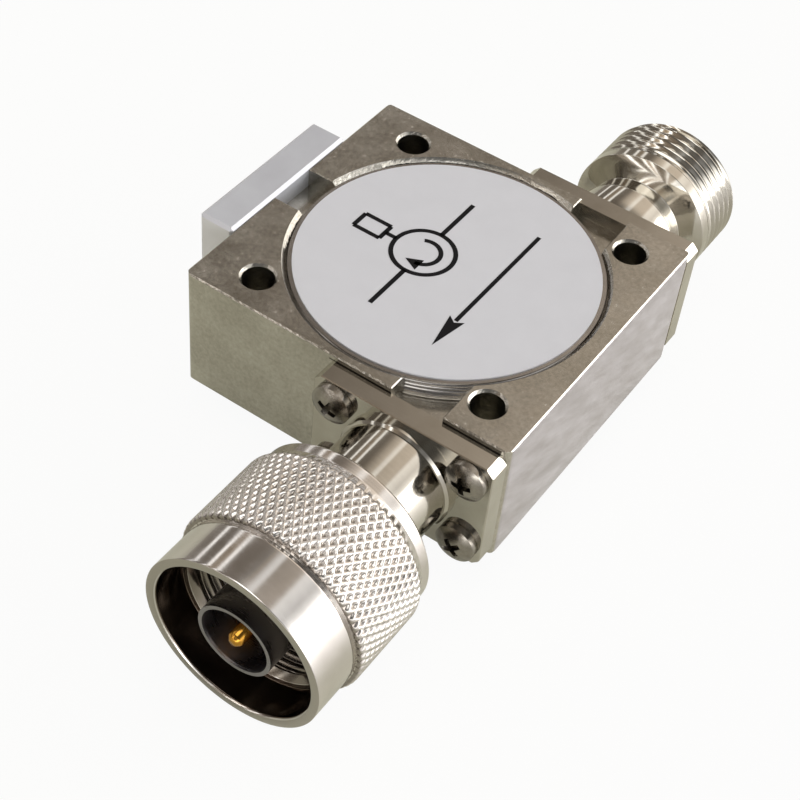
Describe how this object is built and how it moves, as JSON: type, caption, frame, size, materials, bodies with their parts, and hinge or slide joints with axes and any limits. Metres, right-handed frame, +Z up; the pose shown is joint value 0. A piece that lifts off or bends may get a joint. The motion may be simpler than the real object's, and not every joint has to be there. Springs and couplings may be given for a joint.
{
  "type": "coaxial isolator",
  "caption": "Square nickel-plated block with a round screwed-in lid, a coaxial plug with a turning knurled nut in front, a threaded jack behind and a load block at the side.",
  "frame": {"origin": "on the lid's axis, at the block's bottom face, which is the middle of its four mounting holes", "axes": "+Z up out of the lid, +Y out of the jack, -Y out of the plug, -X out of the load block"},
  "size_m": [0.0422, 0.0799, 0.0203],
  "materials": {
    "nickel_block": "milled steel with bright nickel plate",
    "dark_steel": "turned steel, thinly plated",
    "label_print": "satin printed film",
    "magnet": "pressed and ground ceramic magnet",
    "pole_steel": "cold-rolled steel, nickel plated",
    "ferrite": "sintered ferrite, lapped",
    "copper": "etched copper foil, silver flashed",
    "brass": "bare turned brass",
    "ceramic": "fired white ceramic",
    "anodised_aluminium": "fine satin, clear anodised",
    "silver_tab": "silver-plated foil",
    "screw_steel": "rolled screw steel, nickel plated",
    "nickel_plate": "turned brass with bright nickel plate",
    "nickel_knurl": "knurled brass with satin nickel plate",
    "ptfe": "turned white fluoropolymer",
    "gold_plate": "gold-plated copper alloy",
    "black_rubber": "soft moulded rubber"
  },
  "bodies": {
    "block": {"housing": "nickel_block", "lid": "dark_steel", "label": "label_print", "compensator_disc": "dark_steel", "upper_magnet": "magnet", "upper_pole_plate": "pole_steel", "upper_ferrite": "ferrite", "centre_conductor": "copper", "lower_ferrite": "ferrite", "lower_pole_plate": "pole_steel", "lower_magnet": "magnet", "ground_ring": "brass", "port_capacitors": "ceramic", "load_block": "anodised_aluminium", "load_chip": "ceramic", "load_tab": "silver_tab", "load_screws": "screw_steel", "plug_body": "nickel_plate", "plug_insulator": "ptfe", "plug_pin": "gold_plate", "plug_sleeve": "nickel_plate", "plug_gasket": "black_rubber", "plug_screws": "screw_steel", "retaining_ring": "brass", "jack_body": "nickel_plate", "jack_insulator": "ptfe", "jack_contact": "gold_plate", "jack_screws": "screw_steel"},
    "nut": {"coupling_nut": "nickel_knurl"}
  },
  "joints": [
    {"name": "nut_turn", "type": "hinge", "parent": "block", "child": "nut", "pos_m": [0.00825, -0.0365, 0.0074], "axis": [0, -1, 0], "continuous": true}
  ]
}
